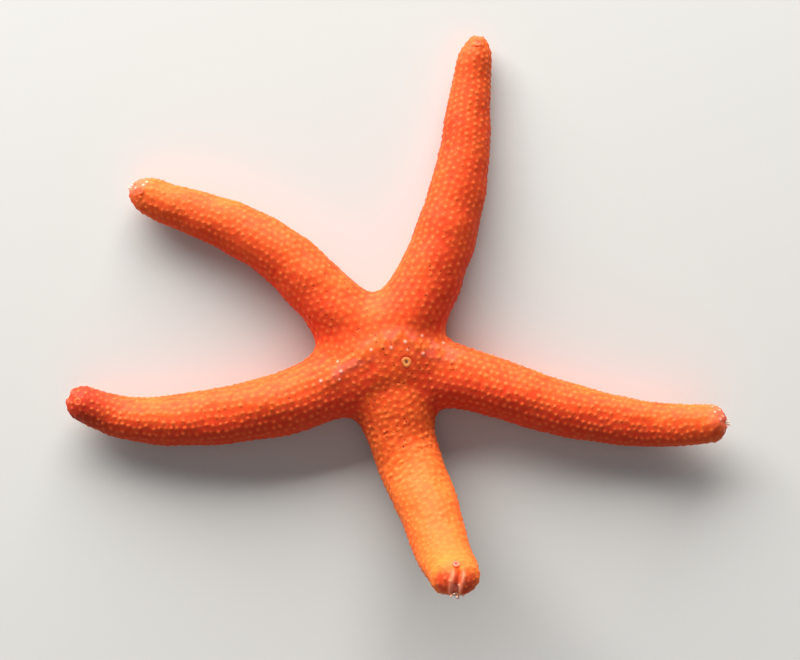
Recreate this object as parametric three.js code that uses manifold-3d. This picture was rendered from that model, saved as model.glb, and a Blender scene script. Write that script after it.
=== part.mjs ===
// Red sea star (Echinaster), life size, lying mouth down with one arm raised off the ground.
// Millimetres, +Z up. The origin is on the ground, under the middle of the whole animal.
// The animal is first described straight: each arm runs out level from the middle of the disc,
// "along" is the distance from that middle, "across" is to the arm's left and "height" is above the sole.
// Then every point is carried onto the arm's bent course.

import * as THREE from 'three';
import { mergeVertices } from 'three/addons/utils/BufferGeometryUtils.js';
import Module from 'manifold-3d';

const wasm = await Module();
wasm.setup();

// Middle of the disc, seen from the middle of the whole animal.
const DISC_X = -3.6;
const DISC_Y = -15;

// The five arms, counter-clockwise. A course holds the arm's direction in degrees at the stations,
// counted counter-clockwise from +X, and a climb holds its slope above the ground.
const FIRST_STATION = 18;
const STATION_STEP = 18;
const ARMS = [
  {
    name: 'back_arm', length: 97, rootHalfWidth: 10, tipHalfWidth: 4.2, tipRounding: 7,
    course: [60.5, 71.5, 77.5, 85.5, 80.5], climb: [0, 0, 0, 0, 6],
  },
  {
    name: 'back_left_arm', length: 88.2, rootHalfWidth: 9.3, tipHalfWidth: 5, tipRounding: 6.9,
    course: [132.5, 138, 154, 161.5, 147.5], climb: [0, 0, 0, 4, 18],
  },
  {
    name: 'left_arm', length: 93.2, rootHalfWidth: 9.7, tipHalfWidth: 4.7, tipRounding: 4.9,
    course: [204.5, 192, 186.5, 173.5, 150.5], climb: [0, 0, 0, 4, 20],
  },
  {
    name: 'raised_arm', length: 80.4, rootHalfWidth: 9.8, tipHalfWidth: 6.4, tipRounding: 5.5,
    course: [283.5, 294, 288, 296, 205], climb: [0, 34, 41.5, 68, 97],
  },
  {
    name: 'right_arm', length: 99.2, rootHalfWidth: 8.9, tipHalfWidth: 5.2, tipRounding: 4.4,
    course: [347.5, 341.5, 346, 352.5, 364.5], climb: [0, 0, 0, 4, 22],
  },
];

// Cross-section of an arm.
const TAPER_POWER = 1.9;
const AXIS_HEIGHT = 0.62;
const TOP_RISE = 0.95;
const DISC_TOP_RISE = 0.74;
const DISC_REACH = 22;
const UNDERSIDE_DROP = 0.78;

// Fillet between neighbouring arms, and the rounded edge of the flat sole.
const WEB_BLEND = 2.9;
const SOLE_EDGE = 1.6;

// Where the body is parted into named pieces, with the slit between two pieces.
const ROOT_CUT = 18;
const MIDDLE_CUT = 43;
const END_CUT = 67;
const SLIT = 0.3;

// Mesh density.
const RING_POINTS = 18;
const RING_SPACING = 4.2;
const TIP_RINGS = 4;
const DISC_AZIMUTHS = 55;
const DISC_LATITUDES = 13;
const BUTTON_SIDES = 10;
const BUTTON_ROWS = 6;

// Groove under each arm and the mouth where the grooves meet.
const GROOVE_HALF_WIDTH = 1.8;
const GROOVE_DEPTH = 2.4;
const GROOVE_TIP_FACTOR = 0.5;
const GROOVE_START = 1.5;
const GROOVE_SPACING = 6;
const GROOVE_RISE_LENGTH = 8;
const GROOVE_RISE = 2.6;
const MOUTH_RADIUS = 3.4;
const MOUTH_DEPTH = 3.6;

// Sieve plate on top of the disc, and the small plate at each arm's tip.
const SIEVE_DIRECTION = -2;
const SIEVE_OFFSET = 6.6;
const SIEVE_RADIUS = 1.5;
const SIEVE_THICKNESS = 1.5;
const SIEVE_STANDOUT = 0.35;
const TIP_PLATE_RADIUS = 1.25;
const TIP_PLATE_STANDOUT = 0.4;
const TIP_PLATE_INSET = 2.6;
const POCKET_CLEARANCE = 0.3;

const radians = THREE.MathUtils.degToRad;

const flesh = {
  disc: new THREE.MeshStandardMaterial({ color: 0xc4461c, roughness: 0.5, metalness: 0 }),
  base: new THREE.MeshStandardMaterial({ color: 0xcf4a1b, roughness: 0.5, metalness: 0 }),
  middle: new THREE.MeshStandardMaterial({ color: 0xd8521f, roughness: 0.5, metalness: 0 }),
  end: new THREE.MeshStandardMaterial({ color: 0xdf5c26, roughness: 0.5, metalness: 0 }),
};
const sievePlate = new THREE.MeshStandardMaterial({ color: 0xe8c98a, roughness: 0.6, metalness: 0 });
const tipPlate = new THREE.MeshStandardMaterial({ color: 0xd9a9a4, roughness: 0.55, metalness: 0 });

// Value of an arm's course or climb at a distance along it: level before the first station,
// a Catmull-Rom curve between stations and level again after the last.
function valueAlong(values, along) {
  const last = values.length - 1;
  const place = THREE.MathUtils.clamp((along - FIRST_STATION) / STATION_STEP, 0, last);
  const i = Math.min(Math.floor(place), last - 1);
  const t = place - i;
  const before = i > 0 ? values[i - 1] : values[1];
  const after = i + 2 <= last ? values[i + 2] : values[last];
  const slopeIn = (values[i + 1] - before) / 2;
  const slopeOut = (after - values[i]) / 2;
  const t2 = t * t;
  const t3 = t2 * t;
  return (2 * t3 - 3 * t2 + 1) * values[i] + (t3 - 2 * t2 + t) * slopeIn
    + (3 * t2 - 2 * t3) * values[i + 1] + (t3 - t2) * slopeOut;
}

// Half-width of the untapered-off arm, and the factor that rounds the tip off.
function halfWidth(arm, along) {
  const share = Math.max(along, 0) / arm.length;
  return THREE.MathUtils.lerp(arm.rootHalfWidth, arm.tipHalfWidth, Math.pow(share, TAPER_POWER));
}

function tipFactor(arm, along) {
  const into = (along - (arm.length - arm.tipRounding)) / arm.tipRounding;
  return Math.sqrt(Math.max(1 - Math.pow(Math.max(into, 0), 2), 0));
}

function axisHeight(arm, along) {
  return AXIS_HEIGHT * halfWidth(arm, along);
}

// Distance-like value of one straight arm, negative inside.
function armValue(arm, along, across, height) {
  const width = Math.max(halfWidth(arm, along) * tipFactor(arm, along), 1e-6);
  const above = height - axisHeight(arm, along);
  const outward = THREE.MathUtils.smoothstep(along, 0, DISC_REACH);
  const rise = THREE.MathUtils.lerp(DISC_TOP_RISE, TOP_RISE, outward);
  const vertical = above / (above > 0 ? rise : UNDERSIDE_DROP);
  return Math.hypot(across, Math.min(along, 0), vertical) - width;
}

// The whole straight animal: the arms run into each other through the web blend, over a flat sole.
function bodyValue(x, y, height) {
  let sum = 0;
  for (const arm of ARMS) {
    const direction = radians(arm.course[0]);
    const along = x * Math.cos(direction) + y * Math.sin(direction);
    const across = y * Math.cos(direction) - x * Math.sin(direction);
    sum += Math.exp(-armValue(arm, along, across, height) / WEB_BLEND);
  }
  const fleshValue = -WEB_BLEND * Math.log(sum);
  const overlap = Math.max(SOLE_EDGE - Math.abs(fleshValue + height), 0) / SOLE_EDGE;
  return Math.max(fleshValue, -height) + overlap * overlap * SOLE_EDGE / 4;
}

// First place where a ray from inside leaves the body, no farther than the limit.
function surfaceDistance(start, ray, limit) {
  const step = 0.4;
  const valueAt = (distance) => bodyValue(
    start.x + ray.x * distance, start.y + ray.y * distance, start.z + ray.z * distance);
  let far = 0;
  while (far < limit && valueAt(far) < 0) far += step;
  if (far >= limit) return limit;
  let near = far - step;
  for (let pass = 0; pass < 30; pass += 1) {
    const middle = (near + far) / 2;
    if (valueAt(middle) < 0) near = middle;
    else far = middle;
  }
  return far;
}

// The bent course of an arm: the ground track and height of its axis at every half millimetre.
const COURSE_STEP = 0.5;
const COURSE_MARGIN = 3;
for (const arm of ARMS) {
  const point = new THREE.Vector3();
  arm.track = [point.clone()];
  for (let along = COURSE_STEP / 2; along < arm.length + COURSE_MARGIN; along += COURSE_STEP) {
    const direction = radians(valueAlong(arm.course, along));
    const slope = radians(Math.max(valueAlong(arm.climb, along), 0));
    point.x += COURSE_STEP * Math.cos(slope) * Math.cos(direction);
    point.y += COURSE_STEP * Math.cos(slope) * Math.sin(direction);
    point.z += COURSE_STEP * Math.sin(slope);
    arm.track.push(point.clone());
  }
}

// Carries a point of the straight arm onto its bent course.
function posed(arm, along, across, height) {
  const place = THREE.MathUtils.clamp(along / COURSE_STEP, 0, arm.track.length - 1.001);
  const i = Math.floor(place);
  const point = arm.track[i].clone().lerp(arm.track[i + 1], place - i);
  const direction = radians(valueAlong(arm.course, along));
  const slope = radians(Math.max(valueAlong(arm.climb, along), 0));
  const axis = axisHeight(arm, along);
  const up = height - axis;
  point.x += -Math.sin(direction) * across - Math.sin(slope) * Math.cos(direction) * up;
  point.y += Math.cos(direction) * across - Math.sin(slope) * Math.sin(direction) * up;
  point.z += axis + Math.cos(slope) * up;
  return point;
}

// Outline of the straight arm at one distance, carried onto the course.
function armRing(arm, along) {
  const direction = radians(arm.course[0]);
  const forward = new THREE.Vector3(Math.cos(direction), Math.sin(direction), 0);
  const left = new THREE.Vector3(-forward.y, forward.x, 0);
  const axis = axisHeight(arm, along);
  const start = forward.clone().multiplyScalar(along).setZ(axis);
  const ring = [];
  for (let k = 0; k < RING_POINTS; k += 1) {
    const turn = 2 * Math.PI * (k + 0.5) / RING_POINTS;
    const ray = left.clone().multiplyScalar(Math.cos(turn)).setZ(Math.sin(turn));
    const reach = surfaceDistance(start, ray, 2 * arm.rootHalfWidth);
    ring.push(posed(arm, along, reach * Math.cos(turn), axis + reach * Math.sin(turn)));
  }
  return ring;
}

// A closed solid through a row of equal rings, with flat ends, or with a point after the last ring.
function loft(rings, nose = null) {
  const count = rings[0].length;
  const vertices = rings.flat();
  const faces = [];
  for (let i = 0; i + 1 < rings.length; i += 1) {
    for (let k = 0; k < count; k += 1) {
      const next = (k + 1) % count;
      const a = i * count + k;
      const b = i * count + next;
      faces.push(a, b, a + count, b, b + count, a + count);
    }
  }
  const middleOf = (ring) => ring.reduce((sum, p) => sum.add(p), new THREE.Vector3()).divideScalar(count);
  const startCentre = vertices.push(middleOf(rings[0])) - 1;
  const endCentre = vertices.push(nose ?? middleOf(rings.at(-1))) - 1;
  const lastRing = (rings.length - 1) * count;
  for (let k = 0; k < count; k += 1) {
    const next = (k + 1) % count;
    faces.push(startCentre, next, k);
    faces.push(endCentre, lastRing + k, lastRing + next);
  }
  const geometry = new THREE.BufferGeometry().setFromPoints(vertices);
  geometry.setIndex(faces);
  return geometry;
}

function steps(from, to, spacing) {
  const count = Math.max(Math.round((to - from) / spacing), 1);
  return Array.from({ length: count + 1 }, (_, i) => from + (to - from) * i / count);
}

function armPiece(arm, from, to) {
  return loft(steps(from, to, RING_SPACING).map((along) => armRing(arm, along)));
}

// The last piece of an arm closes over the rounded tip.
function armEnd(arm, from) {
  const shoulder = arm.length - arm.tipRounding;
  const places = steps(from, shoulder, RING_SPACING);
  for (let k = 1; k <= TIP_RINGS; k += 1) {
    places.push(shoulder + arm.tipRounding * Math.sin(k / (TIP_RINGS + 1) * Math.PI / 2));
  }
  const nose = posed(arm, arm.length, 0, axisHeight(arm, arm.length));
  return loft(places.map((along) => armRing(arm, along)), nose);
}

// The middle of the body, from rays that leave one point inside it in every direction,
// cut off square to each arm.
function discBody() {
  const start = new THREE.Vector3(0, 0, axisHeight(ARMS[0], 0));
  const vertices = [];
  const faces = [];
  for (let j = 1; j < DISC_LATITUDES; j += 1) {
    const latitude = Math.PI * (j / DISC_LATITUDES - 0.5);
    for (let i = 0; i < DISC_AZIMUTHS; i += 1) {
      const azimuth = 2 * Math.PI * i / DISC_AZIMUTHS;
      const ray = new THREE.Vector3().setFromSphericalCoords(1, Math.PI / 2 - latitude, azimuth);
      const level = new THREE.Vector3(ray.z, ray.x, ray.y);
      const reach = surfaceDistance(start, level, 1.3 * DISC_REACH);
      vertices.push(level.multiplyScalar(reach).add(start));
    }
  }
  for (let j = 0; j + 2 < DISC_LATITUDES; j += 1) {
    for (let i = 0; i < DISC_AZIMUTHS; i += 1) {
      const next = (i + 1) % DISC_AZIMUTHS;
      const a = j * DISC_AZIMUTHS + i;
      const b = j * DISC_AZIMUTHS + next;
      faces.push(a, b, a + DISC_AZIMUTHS, b, b + DISC_AZIMUTHS, a + DISC_AZIMUTHS);
    }
  }
  const bottom = vertices.push(new THREE.Vector3(0, 0, 0)) - 1;
  const zenith = new THREE.Vector3(0, 0, 1);
  const top = vertices.push(zenith.multiplyScalar(surfaceDistance(start, zenith, DISC_REACH)).add(start)) - 1;
  const lastRow = (DISC_LATITUDES - 2) * DISC_AZIMUTHS;
  for (let i = 0; i < DISC_AZIMUTHS; i += 1) {
    const next = (i + 1) % DISC_AZIMUTHS;
    faces.push(bottom, next, i);
    faces.push(top, lastRow + i, lastRow + next);
  }
  const geometry = new THREE.BufferGeometry().setFromPoints(vertices);
  geometry.setIndex(faces);
  return ARMS.reduce((body, arm) => cut(body, outerBlock(arm)), geometry);
}

// A block that removes everything past an arm's root cut.
function outerBlock(arm) {
  const size = 3 * DISC_REACH;
  const block = new THREE.BoxGeometry(size, size, size);
  block.translate(ROOT_CUT - SLIT / 2 + size / 2, 0, 0);
  block.rotateZ(radians(arm.course[0]));
  return block;
}

// Groove under one arm, from the mouth to the tip, where it rises up the blunt end.
function grooveCutter(arm) {
  const end = arm.length + 1;
  const riseStart = arm.length - GROOVE_RISE_LENGTH;
  const places = [...steps(GROOVE_START, riseStart, GROOVE_SPACING), ...steps(riseStart + 3, end, 3)];
  const rings = places.map((along) => {
    const size = THREE.MathUtils.lerp(1, GROOVE_TIP_FACTOR, along / arm.length);
    const half = GROOVE_HALF_WIDTH * size;
    const rise = GROOVE_RISE * THREE.MathUtils.smoothstep(along, riseStart, end);
    const depth = GROOVE_DEPTH * size + rise;
    const outline = [[half, -1], [half, 0.3 * depth], [half / 2, depth], [-half / 2, depth],
      [-half, 0.3 * depth], [-half, -1]];
    return outline.map(([across, height]) => posed(arm, along, across, height));
  });
  return loft(rings);
}

function mouthCutter() {
  const mouth = new THREE.CylinderGeometry(0.6 * MOUTH_RADIUS, MOUTH_RADIUS, MOUTH_DEPTH + 1, 20);
  mouth.rotateX(Math.PI / 2);
  mouth.translate(0, 0, (MOUTH_DEPTH - 1) / 2);
  return mouth;
}

function toSolid(geometry) {
  const bare = geometry.clone();
  bare.deleteAttribute('normal');
  bare.deleteAttribute('uv');
  const merged = mergeVertices(bare, 1e-4);
  const vertProperties = new Float32Array(merged.attributes.position.array);
  const triVerts = new Uint32Array(merged.index.array);
  return new wasm.Manifold(new wasm.Mesh({ numProp: 3, vertProperties, triVerts }));
}

function cut(geometry, tool) {
  const mesh = toSolid(geometry).subtract(toSolid(tool)).getMesh();
  const result = new THREE.BufferGeometry();
  result.setAttribute('position', new THREE.BufferAttribute(mesh.vertProperties, 3));
  result.setIndex(new THREE.BufferAttribute(mesh.triVerts, 1));
  return result;
}

const starfish = new THREE.Group();
starfish.position.set(DISC_X, DISC_Y, 0);

function addPiece(name, geometry, material) {
  const shown = geometry.toNonIndexed();
  shown.computeVertexNormals();
  const mesh = new THREE.Mesh(shown, material);
  mesh.name = name;
  starfish.add(mesh);
  return mesh;
}

// A low button set in a pocket, standing square to the surface.
function buttonGeometry(radius, thickness, place, outward) {
  const button = new THREE.SphereGeometry(radius, BUTTON_SIDES, BUTTON_ROWS);
  button.deleteAttribute('uv');
  button.scale(1, 1, thickness / (2 * radius));
  button.applyQuaternion(new THREE.Quaternion().setFromUnitVectors(new THREE.Vector3(0, 0, 1), outward));
  button.translate(place.x, place.y, place.z);
  return button;
}

// Disc, with its grooves, mouth and sieve plate.
const grooves = ARMS.map(grooveCutter);
let disc = cut(discBody(), mouthCutter());
for (const groove of grooves) {
  disc = cut(disc, groove);
}
const sieveAngle = radians(SIEVE_DIRECTION);
const discInside = new THREE.Vector3(
  SIEVE_OFFSET * Math.cos(sieveAngle), SIEVE_OFFSET * Math.sin(sieveAngle), axisHeight(ARMS[0], 0));
const sieveHeight = discInside.z + surfaceDistance(discInside, new THREE.Vector3(0, 0, 1), DISC_REACH);
const sieveOutward = new THREE.Vector3(discInside.x / 30, discInside.y / 30, 1).normalize();
const sieveCentre = discInside.clone().setZ(sieveHeight)
  .addScaledVector(sieveOutward, SIEVE_STANDOUT - SIEVE_THICKNESS / 2);
const sievePocket = buttonGeometry(
  SIEVE_RADIUS + POCKET_CLEARANCE, SIEVE_THICKNESS + 2 * POCKET_CLEARANCE, sieveCentre, sieveOutward);
addPiece('disc', cut(disc, sievePocket), flesh.disc);
addPiece('sieve_plate', buttonGeometry(SIEVE_RADIUS, SIEVE_THICKNESS, sieveCentre, sieveOutward), sievePlate);

// Arms, each in three lengths with a plate at the tip.
ARMS.forEach((arm, index) => {
  const lengths = [
    ['base', armPiece(arm, ROOT_CUT + SLIT / 2, MIDDLE_CUT - SLIT / 2)],
    ['middle', armPiece(arm, MIDDLE_CUT + SLIT / 2, END_CUT - SLIT / 2)],
    ['end', armEnd(arm, END_CUT + SLIT / 2)],
  ];
  const plateAlong = arm.length - TIP_PLATE_INSET;
  const axis = axisHeight(arm, plateAlong);
  const plateRise = TOP_RISE * halfWidth(arm, plateAlong) * tipFactor(arm, plateAlong);
  const surfacePoint = posed(arm, plateAlong, 0, axis + plateRise);
  const outward = surfacePoint.clone().sub(posed(arm, arm.length - arm.tipRounding, 0, axis)).normalize();
  const centre = surfacePoint.clone().addScaledVector(outward, TIP_PLATE_STANDOUT - TIP_PLATE_RADIUS);
  const pocketRadius = TIP_PLATE_RADIUS + POCKET_CLEARANCE;
  const pocket = buttonGeometry(pocketRadius, 2 * pocketRadius, centre, outward);
  for (const [part, geometry] of lengths) {
    const grooved = cut(geometry, grooves[index]);
    addPiece(`${arm.name}_${part}`, part === 'end' ? cut(grooved, pocket) : grooved, flesh[part]);
  }
  const plate = buttonGeometry(TIP_PLATE_RADIUS, 2 * TIP_PLATE_RADIUS, centre, outward);
  addPiece(`${arm.name}_tip_plate`, plate, tipPlate);
});

export default starfish;
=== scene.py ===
import math
import bmesh
import bpy
import numpy as np
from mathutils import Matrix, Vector
from mathutils.bvhtree import BVHTree
from mathutils.kdtree import KDTree


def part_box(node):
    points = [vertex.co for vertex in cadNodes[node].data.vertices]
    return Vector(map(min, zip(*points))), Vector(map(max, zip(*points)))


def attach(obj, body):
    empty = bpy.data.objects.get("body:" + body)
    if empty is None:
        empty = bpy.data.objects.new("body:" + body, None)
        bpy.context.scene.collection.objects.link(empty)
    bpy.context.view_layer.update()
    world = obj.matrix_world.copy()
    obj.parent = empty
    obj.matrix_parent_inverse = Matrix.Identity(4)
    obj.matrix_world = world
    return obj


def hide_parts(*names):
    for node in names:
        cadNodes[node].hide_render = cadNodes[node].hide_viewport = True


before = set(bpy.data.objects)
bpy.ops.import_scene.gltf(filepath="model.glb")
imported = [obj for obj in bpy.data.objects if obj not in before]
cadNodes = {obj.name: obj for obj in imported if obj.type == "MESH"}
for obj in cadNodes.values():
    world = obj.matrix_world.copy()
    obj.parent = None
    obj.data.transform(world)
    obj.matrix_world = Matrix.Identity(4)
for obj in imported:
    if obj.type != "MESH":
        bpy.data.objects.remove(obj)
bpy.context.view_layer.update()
print("frame loaded:", len(cadNodes), "nodes")

mm = 0.001

# the animal's sizes, as its solids have them, in millimetres and degrees

starBody = {
    "disc": (-3.6, -15.0),     # middle of the disc on the ground
    "firstStation": 18.0,      # distance along an arm at which its course begins to bend
    "stationStep": 18.0,
    "courseStep": 0.5,
    "courseMargin": 3.0,
    "taperPower": 1.9,
    "axisHeight": 0.62,        # shares of the half-width
    "topRise": 0.95,
    "discTopRise": 0.74,
    "undersideDrop": 0.78,
    "discReach": 22.0,
    "webBlend": 2.9,
    "soleEdge": 1.6,           # softness of the edge round the sole
    "hollowEdge": 0.7,         # and of the edges of the grooves and the mouth
    "grooveHalfWidth": 1.8,
    "grooveDepth": 2.4,
    "grooveTipFactor": 0.5,
    "grooveStart": 1.5,
    "grooveRiseLength": 8.0,
    "grooveRise": 2.6,
    "mouthRadius": 3.4,
    "mouthDepth": 3.6,
    "plateInset": 2.6,         # from an arm's end to its tip plate
}

arms = [
    {"name": "back_arm", "length": 97.0, "root": 10.0, "tip": 4.2, "rounding": 7.0,
     "course": (60.5, 71.5, 77.5, 85.5, 80.5), "climb": (0, 0, 0, 0, 6)},
    {"name": "back_left_arm", "length": 88.2, "root": 9.3, "tip": 5.0, "rounding": 6.9,
     "course": (132.5, 138, 154, 161.5, 147.5), "climb": (0, 0, 0, 4, 18)},
    {"name": "left_arm", "length": 93.2, "root": 9.7, "tip": 4.7, "rounding": 4.9,
     "course": (204.5, 192, 186.5, 173.5, 150.5), "climb": (0, 0, 0, 4, 20)},
    {"name": "raised_arm", "length": 80.4, "root": 9.8, "tip": 6.4, "rounding": 5.5,
     "course": (283.5, 294, 288, 296, 205), "climb": (0, 34, 41.5, 68, 97)},
    {"name": "right_arm", "length": 99.2, "root": 8.9, "tip": 5.2, "rounding": 4.4,
     "course": (347.5, 341.5, 346, 352.5, 364.5), "climb": (0, 0, 0, 4, 22)},
]
raisedArm = 3


def alongValue(values, along):
    # level before the first station, a smooth curve between stations, level after the last
    values = np.asarray(values, float)
    last = len(values) - 1
    place = np.clip((along - starBody["firstStation"]) / starBody["stationStep"], 0, last)
    i = np.minimum(place.astype(int), last - 1)
    t = place - i
    padded = np.concatenate([[values[1]], values, [values[-1]]])
    slopeIn = (padded[i + 2] - padded[i]) / 2
    slopeOut = (padded[i + 3] - padded[i + 1]) / 2
    return ((2 * t**3 - 3 * t**2 + 1) * values[i] + (t**3 - 2 * t**2 + t) * slopeIn
            + (3 * t**2 - 2 * t**3) * values[i + 1] + (t**3 - t**2) * slopeOut)


def halfWidth(arm, along):
    share = np.maximum(along, 0) / arm["length"]
    return arm["root"] + (arm["tip"] - arm["root"]) * share ** starBody["taperPower"]


def tipFactor(arm, along):
    into = np.maximum((along - arm["length"] + arm["rounding"]) / arm["rounding"], 0)
    return np.sqrt(np.maximum(1 - into**2, 0))


def axisHeight(arm, along):
    return starBody["axisHeight"] * halfWidth(arm, along)


def smoothStep(x, low, high):
    # 0 at low and 1 at high, which may be the smaller one
    t = np.clip((x - low) / (high - low), 0, 1)
    return t * t * (3 - 2 * t)


def between(x, marks):
    # 0 before the first mark, 1 between the middle two and 0 after the last
    return smoothStep(x, marks[0], marks[1]) * smoothStep(x, marks[3], marks[2])


def bell(x, width):
    return np.exp(-(x / width) ** 2)


def eachArm(owner):
    # every arm, with the points that belong to it
    for k, arm in enumerate(arms):
        yield arm, owner == k


def turnTo(arm, x, y):
    # level coordinates turned into the distances along and across a straight arm
    c, s = math.cos(arm["heading"]), math.sin(arm["heading"])
    return x * c + y * s, y * c - x * s


def armCourse(arm, along):
    # the level direction of the bent arm, and which way it points there
    direction = np.radians(alongValue(arm["course"], along))
    slope = np.radians(np.maximum(alongValue(arm["climb"], along), 0))
    flat = np.cos(slope)
    return direction, np.stack([flat * np.cos(direction), flat * np.sin(direction), np.sin(slope)], -1)


def armFrame(arm, along):
    # axis point, forward, left and up at a distance along the bent arm
    direction, forward = armCourse(arm, along)
    places = np.arange(len(arm["track"])) * starBody["courseStep"]
    point = np.stack([np.interp(along, places, arm["track"][:, k]) for k in range(3)], -1)
    point[..., 2] += axisHeight(arm, along)
    left = np.stack([-np.sin(direction), np.cos(direction), 0 * direction], -1)
    up = np.cross(forward, left)
    return point, forward, left, up


for arm in arms:
    step = starBody["courseStep"]
    middles = np.arange(step / 2, arm["length"] + starBody["courseMargin"], step)
    moves = step * armCourse(arm, middles)[1]
    start = np.array([[*starBody["disc"], 0.0]])
    arm["track"] = np.concatenate([start, start + np.cumsum(moves, 0)])
    arm["heading"] = math.radians(arm["course"][0])


def toStraight(points, batch=8000):
    # the arm each point belongs to, and its place on that arm: along, across and up from the axis
    best = np.full(len(points), 1e9)
    owner = np.zeros(len(points), int)
    nearest = np.zeros(len(points), int)
    for k, arm in enumerate(arms):
        places = np.arange(len(arm["track"])) * starBody["courseStep"]
        axis = arm["track"].copy()
        axis[:, 2] += axisHeight(arm, places)
        for low in range(0, len(points), batch):
            some = slice(low, low + batch)
            part = points[some]
            gaps = ((part[:, None, :] - axis[None, :, :]) ** 2).sum(-1)
            closest = gaps.argmin(1)
            distance = gaps[np.arange(len(part)), closest]
            better = distance < best[some]
            best[some][better] = distance[better]
            owner[some][better] = k
            nearest[some][better] = closest[better]
    along = nearest * starBody["courseStep"]
    across = np.zeros(len(points))
    up = np.zeros(len(points))
    for arm, mine in eachArm(owner):
        place = along[mine]
        for _ in range(2):
            point, forward, left, rise = armFrame(arm, np.maximum(place, 0))
            offset = points[mine] - point
            place = np.where(place > 0, place, 0) + (offset * forward).sum(-1)
        point, forward, left, rise = armFrame(arm, np.maximum(place, 0))
        offset = points[mine] - point
        along[mine] = place
        across[mine] = (offset * left).sum(-1)
        up[mine] = (offset * rise).sum(-1)
    return owner, along, across, up


def fromStraight(owner, along, across, up):
    points = np.zeros((len(along), 3))
    for arm, mine in eachArm(owner):
        point, forward, left, rise = armFrame(arm, np.maximum(along[mine], 0))
        points[mine] = (point + left * across[mine, None] + rise * up[mine, None]
                        + forward * np.minimum(along[mine], 0)[:, None])
    return points


def softMax(a, b, edge):
    overlap = np.maximum(edge - np.abs(a - b), 0) / edge
    return np.maximum(a, b) + overlap**2 * edge / 4


def armValue(arm, along, across, height):
    width = np.maximum(halfWidth(arm, along) * tipFactor(arm, along), 1e-4)
    above = height - axisHeight(arm, along)
    outward = smoothStep(along, 0, starBody["discReach"])
    rise = starBody["discTopRise"] + (starBody["topRise"] - starBody["discTopRise"]) * outward
    vertical = above / np.where(above > 0, rise, starBody["undersideDrop"])
    return np.sqrt(across**2 + np.minimum(along, 0) ** 2 + vertical**2) - width


def grooveValue(arm, along, across, height):
    length = arm["length"]
    size = 1 + (starBody["grooveTipFactor"] - 1) * along / length
    rise = starBody["grooveRise"] * smoothStep(along, length - starBody["grooveRiseLength"], length + 1)
    half = starBody["grooveHalfWidth"] * size
    depth = starBody["grooveDepth"] * size + rise
    value = (np.hypot(across / half, np.maximum(height, 0) / depth) - 1) * half
    return np.maximum(value, starBody["grooveStart"] - along)


def bodyValue(x, y, height):
    # negative inside the straight animal, whose arms all leave the disc's middle level
    total = 0
    hollow = np.full(len(x), 1e3)
    for arm in arms:
        along, across = turnTo(arm, x, y)
        total = total + np.exp(-armValue(arm, along, across, height) / starBody["webBlend"])
        hollow = np.minimum(hollow, grooveValue(arm, along, across, height))
    flesh = -starBody["webBlend"] * np.log(np.maximum(total, 1e-300))
    mouth = (np.sqrt((x**2 + y**2) / starBody["mouthRadius"] ** 2
                     + (height / starBody["mouthDepth"]) ** 2) - 1) * starBody["mouthRadius"]
    hollow = np.minimum(hollow, mouth)
    solid = softMax(flesh, -height, starBody["soleEdge"])
    return softMax(solid, -hollow, starBody["hollowEdge"])


def straightPoints(owner, along, across, up):
    points = np.zeros((len(along), 3))
    for arm, mine in eachArm(owner):
        c, s = math.cos(arm["heading"]), math.sin(arm["heading"])
        points[mine, 0] = along[mine] * c - across[mine] * s
        points[mine, 1] = along[mine] * s + across[mine] * c
        points[mine, 2] = up[mine] + axisHeight(arm, along[mine])
    return points


def bodySlope(points, reach=0.05):
    slope = np.zeros_like(points)
    for k in range(3):
        shift = np.zeros(3)
        shift[k] = reach
        ahead, behind = points + shift, points - shift
        slope[:, k] = (bodyValue(*ahead.T) - bodyValue(*behind.T)) / (2 * reach)
    return slope


def snapToBody(owner, along, across, up, rounds=4, largestStep=0.5):
    # moves points straight onto the true surface of the body
    points = straightPoints(owner, along, across, up)
    for _ in range(rounds):
        slope = bodySlope(points)
        squared = np.maximum((slope**2).sum(-1), 0.05)
        move = -bodyValue(*points.T)[:, None] * slope / squared[:, None]
        size = np.linalg.norm(move, axis=1, keepdims=True)
        points += move * np.minimum(1, largestStep / np.maximum(size, 1e-9))
    for arm, mine in eachArm(owner):
        along[mine], across[mine] = turnTo(arm, points[mine, 0], points[mine, 1])
        up[mine] = points[mine, 2] - axisHeight(arm, along[mine])
    return along, across, up


# small helpers for the materials

def linearColour(hexColour):
    channels = [int(hexColour[k:k + 2], 16) / 255 for k in (1, 3, 5)]
    return [c / 12.92 if c <= 0.04045 else ((c + 0.055) / 1.055) ** 2.4 for c in channels] + [1.0]


def setInputs(tree, node, inputs):
    # an input takes a plain value, or is linked to another node's output
    for key, value in inputs.items():
        if isinstance(value, bpy.types.NodeSocket):
            tree.links.new(value, node.inputs[key])
        else:
            node.inputs[key].default_value = value


def addNode(tree, kind, inputs, **settings):
    node = tree.nodes.new("ShaderNode" + kind)
    for key, value in settings.items():
        setattr(node, key, value)
    setInputs(tree, node, inputs)
    return node


def newMaterial(name):
    # the material, its nodes, its shader, and a point's place on the piece
    material = bpy.data.materials.new(name)
    material.use_nodes = True
    tree = material.node_tree
    place = addNode(tree, "TexCoord", {}).outputs["Object"]
    return material, tree, tree.nodes["Principled BSDF"], place


def readShare(tree, share):
    # a share is a field's name, or a value with the levels at which it is none and full, or ready
    if isinstance(share, str):
        return addNode(tree, "Attribute", {}, attribute_name=share).outputs["Fac"]
    if isinstance(share, tuple):
        limits = {"Value": readShare(tree, share[0]), "From Min": share[1], "From Max": share[2]}
        return addNode(tree, "MapRange", limits).outputs["Result"]
    return share


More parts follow.
